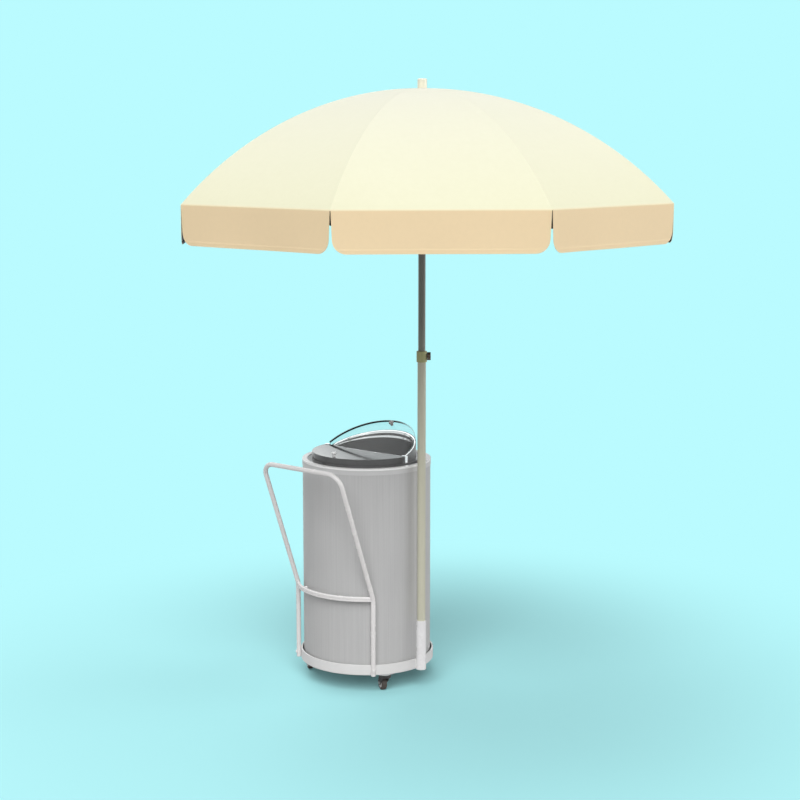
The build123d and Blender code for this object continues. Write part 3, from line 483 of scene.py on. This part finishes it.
# Materials of the solids, by node
finishes = {
    "base_tray": coated("tray_white", (0.78, 0.78, 0.775), rough=0.36, grain=900.0),
    "rim_trim": rim_finish(),
    "hood_frame": coated("hood_bright", (0.95, 0.95, 0.945), rough=0.13, vary=0.02, grain_depth=0.00001,
                         Metallic=1.0),
    "drum_shell": drum_finish(),
    "foam_insulation": foam_finish(),
    "inner_liner": coated("tub_grey", (0.62, 0.63, 0.63), rough=0.34),
    "lid_collar": coated("collar_dark", (0.15, 0.15, 0.151), rough=0.30, vary=0.10, blotch=9.0,
                         grain_depth=0.000008),
    "front_lid": coated("lid_dark", (0.11, 0.11, 0.111), rough=0.07, vary=0.08, blotch=9.0,
                        grain_depth=0.000001, spread=0.02, Specular_IOR_Level=0.28),
    "hood_gasket": coated("gasket_grey", (0.34, 0.34, 0.34), rough=0.62, grain=1500.0),
    "lid_hinge": coated("hinge_bright", (0.86, 0.88, 0.89), rough=0.16, grain_depth=0.00002, Metallic=1.0),
    "clear_flap": clear_finish(),
    "front_lid_knob": coated("knob_white", (0.92, 0.92, 0.915), rough=0.22, vary=0.03),
    "flap_knob": coated("knob_grey", (0.55, 0.55, 0.54), rough=0.25, vary=0.04),
    "drain_spout": coated("drain_white", (0.76, 0.76, 0.75), rough=0.42),
    "drain_cap": coated("drain_cap_white", (0.74, 0.74, 0.73), rough=0.46, grain=1200.0),
    "handle_tube": coated("handle_white", (0.82, 0.80, 0.795), rough=0.25, vary=0.03, grain=380.0),
    "handle_crossbar": coated("crossbar_white", (0.82, 0.805, 0.80), rough=0.25, vary=0.03, grain=380.0),
    "frame_fixings": coated("fixings_white", (0.78, 0.77, 0.765), rough=0.32, vary=0.06, grain=380.0),
    "pole_socket": coated("socket_white", (0.84, 0.835, 0.84), rough=0.27, vary=0.03, grain=380.0),
    "caster_plates": coated("plate_zinc", (0.60, 0.60, 0.60), rough=0.38, vary=0.10, blotch=40.0,
                            Metallic=1.0),
    "lower_pole": coated("pole_beige", (0.58, 0.57, 0.45), rough=0.34, vary=0.04, blotch=1.5,
                         stretch=UPRIGHT),
    "clamp_collar": coated("clamp_olive", (0.44, 0.44, 0.21), rough=0.42, vary=0.10, grain=1200.0),
    "clamp_knob": coated("clamp_knob_brown", (0.115, 0.075, 0.045), rough=0.40, vary=0.12, grain=1200.0),
    "upper_pole": coated("pole_grey_olive", (0.25, 0.25, 0.21), rough=0.34, vary=0.05, blotch=1.5,
                         stretch=UPRIGHT),
    "crown": coated("crown_black", (0.030, 0.030, 0.030), rough=0.45, vary=0.12),
    "runner": coated("runner_black", (0.030, 0.030, 0.030), rough=0.42, vary=0.12),
    "finial": coated("finial_cream", (0.86, 0.83, 0.68), rough=0.34, vary=0.03),
}

# Materials of the numbered solids, by the name without its number
families = {
    "caster_fork": coated("fork_black", (0.022, 0.022, 0.022), rough=0.36, vary=0.15, grain=500.0),
    "caster_hub": coated("hub_pale", (0.70, 0.70, 0.69), rough=0.34, vary=0.06),
    "caster_tyre": coated("tyre_rubber", (0.070, 0.058, 0.050), rough=0.62, vary=0.14, grain=1500.0,
                          grain_depth=0.0001),
    "rib": coated("rib_black_steel", (0.070, 0.070, 0.070), rough=0.36, vary=0.12),
    "stretcher": coated("stretcher_black_steel", (0.070, 0.070, 0.070), rough=0.36, vary=0.12),
    "shade_panel": cloth_cream,
}
for name, obj in nodes.items():
    family = name.rstrip("0123456789").rstrip("_")
    obj.data.materials.clear()
    obj.data.materials.append(finishes.get(name) or families[family])


def second_finish(name, material, is_picked):
    """Give a second material to the faces of a solid that the test picks."""
    mesh = nodes[name].data
    mesh.materials.append(material)
    for face in mesh.polygons:
        face.material_index = 1 if is_picked(face) else 0


def on_axle(face, spin):
    """Whether a face of a fork lies within the axle's reach of the wheel's axis."""
    axis = Vector(spin["axis"]).normalized()
    away = face.center - Vector(spin["pos_m"])
    return (away - axis * away.dot(axis)).length < AXLE_REACH


def in_hood(face):
    """Whether a face of the collar is on the hood's inside."""
    inward = Vector((face.center.x - DRUM_X, face.center.y, 0.0))
    return inward.length < HOOD_INSIDE and inward.dot(face.normal) < FACING_INWARD * inward.length


def on_flap_rim(face):
    """Whether a face of the clear flap is on its raised rim."""
    away = face.center - Vector(joints["clear_flap_hinge"]["pos_m"])
    rise = Vector((0.0, math.cos(LID_FLAP_SLOPE), math.sin(LID_FLAP_SLOPE)))
    return math.hypot(away.x, away.dot(rise)) > LID_FLAP_RADIUS - LID_FLAP_RIM - RIM_SLACK


axle_zinc = coated("axle_zinc", (0.66, 0.66, 0.66), rough=0.28, vary=0.08, Metallic=1.0)
for number in range(1, CASTER_COUNT + 1):
    wheel_spin = joints[f"wheel_{number}_spin"]
    second_finish(f"caster_fork_{number}", axle_zinc, lambda face: on_axle(face, wheel_spin))
# Painted light: the hood's inside is the collar's dark plastic painted lighter, standing in for light that
# its shaded inside does not get
hood_inside_painted_light = coated("hood_inside_collar_painted_light", (0.26, 0.26, 0.26), rough=0.42, vary=0.08, blotch=9.0)
second_finish("lid_collar", hood_inside_painted_light, in_hood)
second_finish("clear_flap", clear_rim_finish(), on_flap_rim)


def put(name, data):
    """A new object in the scene."""
    obj = bpy.data.objects.new(name, data)
    bpy.context.scene.collection.objects.link(obj)
    return obj


def cloth_lift(row, share, number):
    """How far the cloth stands off its plain shape: hollow between ribs, wavy and hemmed on the flap."""
    if row.part == "top":
        return -SAG * (1 - share * share) * max(0.0, math.sin(math.pi * row.run / TOP_LENGTH))
    lower = max(0.0, 1 - row.above / FLAP_DROP)
    phase = 2 * math.pi * row.half * share / WAVE_LENGTH + WAVE_SHIFT * number
    hem = HEM_PROUD if row.above < HEM_WIDTH else 0.0
    return WAVE * lower**WAVE_GROWTH * math.cos(phase) + hem


def half_gore(number, side):
    """Half a gore with its half of the hanging flap, from the rib at that side to the gore's middle."""
    middle = RIB_FIRST + (number + 0.5) * RIB_STEP
    outward = Vector((math.cos(middle), math.sin(middle), 0.0))
    sideways = Vector((-math.sin(middle), math.cos(middle), 0.0))
    name = f"canopy_gore_{number + 1}_{SIDE_NAMES[side]}"
    work = bmesh.new()
    flat_map = work.loops.layers.uv.new("flat")
    edge_map = work.loops.layers.uv.new("edge")
    grid = []
    places = {}
    for index, row in enumerate(ROWS):
        ahead = ROWS[min(index + 1, len(ROWS) - 1)]
        behind = ROWS[max(index - 1, 0)]
        along = Vector((ahead.reach - behind.reach, ahead.height - behind.height)).normalized()
        normal = outward * -along.y + UP * along.x
        line = []
        for column in range(HALF_COLUMNS + 1):
            share = column / HALF_COLUMNS + (side - 1)
            across = row.half * share
            point = outward * row.reach + sideways * across + UP * row.height
            vert = work.verts.new(point + normal * cloth_lift(row, share, number))
            places[vert] = ((across, row.run), (row.half - abs(across), row.above))
            line.append(vert)
        grid.append(line)
    for upper, lower in zip(grid, grid[1:]):
        for column in range(HALF_COLUMNS):
            face = work.faces.new((upper[column], lower[column], lower[column + 1], upper[column + 1]))
            face.smooth = True
            for loop in face.loops:
                loop[flat_map].uv, loop[edge_map].uv = places[loop.vert]
    for edge in work.edges:
        edge.smooth = not edge.is_boundary
    mesh = bpy.data.meshes.new(name)
    work.to_mesh(mesh)
    work.free()
    mesh.materials.append(cloth_cream)
    mesh.materials.append(cloth_lining)
    obj = put(name, mesh)
    skin = obj.modifiers.new("thickness", "SOLIDIFY")
    skin.thickness = CLOTH
    skin.offset = -1.0
    skin.material_offset = 1
    skin.material_offset_rim = 0
    return obj


# The sewn canopy: each half gore hangs on its own rib and moves with it
for number in range(RIB_COUNT):
    for side in range(len(SIDE_NAMES)):
        rib_number = (number + side) % RIB_COUNT
        rib = f"rib_{rib_number + 1}"
        piece = half_gore(number, side)
        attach(piece, rib)
        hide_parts(f"shade_panel_{number + 1}")
        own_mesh(piece)


def seen_rays(made):
    """Two values: one for rays from the camera and through clear things, and one for rays from mirrors."""
    path = made.add("ShaderNodeLightPath").outputs
    seen = made.math("MAXIMUM", path["Is Camera Ray"], path["Is Transmission Ray"])
    return seen, path["Is Glossy Ray"]


def make_floor():
    """A wide floor that takes the object's shadow, painted a darker pale near the object as painted shade,
    and fades into the pale background away from it.
    """
    mesh = bpy.data.meshes.new("floor")
    corners = [(x * FLOOR_REACH, y * FLOOR_REACH, 0) for x, y in ((-1, -1), (1, -1), (1, 1), (-1, 1))]
    mesh.from_pydata(corners, [], [(0, 1, 2, 3)])
    floor = put("floor", mesh)
    floor.location.z = -FLOOR_GAP
    material = bpy.data.materials.new("floor_pale")
    material.use_nodes = True
    made = Nodes(material.node_tree)
    seen, mirrored = seen_rays(made)
    colour = made.mix(seen, made.mix(mirrored, NEUTRAL, MIRRORED), PALE_PAINTED_SHADE)
    diffuse = made.add("ShaderNodeBsdfDiffuse", {"Color": colour}).outputs[0]
    glow = made.add("ShaderNodeEmission", {"Color": (*PALE, 1.0)}).outputs[0]
    away = made.add("ShaderNodeVectorMath", {0: made.coords()}, operation="LENGTH").outputs["Value"]
    fade = made.span(away, low=0.0, high=1.0, start=FADE_START, end=FADE_END, curve="SMOOTHSTEP")
    mixed = made.mix_shaders(made.math("MULTIPLY", fade, seen), diffuse, glow)
    made.add("ShaderNodeOutputMaterial", {0: mixed})
    mesh.materials.append(material)


def make_sky():
    """Light by height, dim at the horizon and brighter overhead. Mirrors and the camera see pale colours."""
    world = bpy.data.worlds.new("surroundings")
    bpy.context.scene.world = world
    world.use_nodes = True
    made = Nodes(world.node_tree)
    height = made.axes(made.coords("Generated"))["Z"]
    level = made.span(height, low=SKY_LOW, high=SKY_HIGH, start=SKY_LOW_END, end=SKY_HIGH_START,
                      curve="SMOOTHSTEP")

    def background(colour, strength=1.0):
        return made.add("ShaderNodeBackground", {"Color": (*colour, 1.0), "Strength": strength}).outputs[0]

    seen, mirrored = seen_rays(made)
    unseen = made.mix_shaders(mirrored, background(WHITE, level), background(MIRRORED))
    made.add("ShaderNodeOutputWorld", {0: made.mix_shaders(seen, unseen, background(PALE))})


def point(obj, way):
    """Turn a camera or lamp to look along a direction."""
    obj.rotation_mode = "QUATERNION"
    obj.rotation_quaternion = way.to_track_quat("-Z", "Y")


def make_camera():
    """The camera, level from side to side and pitched down."""
    data = bpy.data.cameras.new("camera")
    data.sensor_width = SENSOR
    data.lens = LENS
    camera = put("camera", data)
    camera.location = CAMERA_PLACE
    point(camera, VIEW_PLAN * math.cos(VIEW_PITCH) - UP * math.sin(VIEW_PITCH))
    bpy.context.scene.camera = camera


def soft_sun(name, up, ahead, right, spread, strength):
    """A wide soft lamp, placed by how far it stands up, ahead and right as the camera sees it."""
    data = bpy.data.lights.new(name, "SUN")
    data.angle = math.radians(spread)
    data.energy = strength
    point(put(name, data), -(UP * up + VIEW_PLAN * ahead + RIGHT * right))


make_floor()
make_sky()
make_camera()
soft_sun("overhead", up=1.0, ahead=0.0, right=-0.30, spread=50.0, strength=0.55)
soft_sun("front", up=0.84, ahead=-1.0, right=-0.06, spread=46.0, strength=2.52)
soft_sun("back", up=0.70, ahead=1.0, right=-0.45, spread=60.0, strength=0.75)
soft_sun("right_side", up=0.08, ahead=0.12, right=1.0, spread=36.0, strength=1.35)
bpy.context.scene.view_settings.view_transform = "Standard"
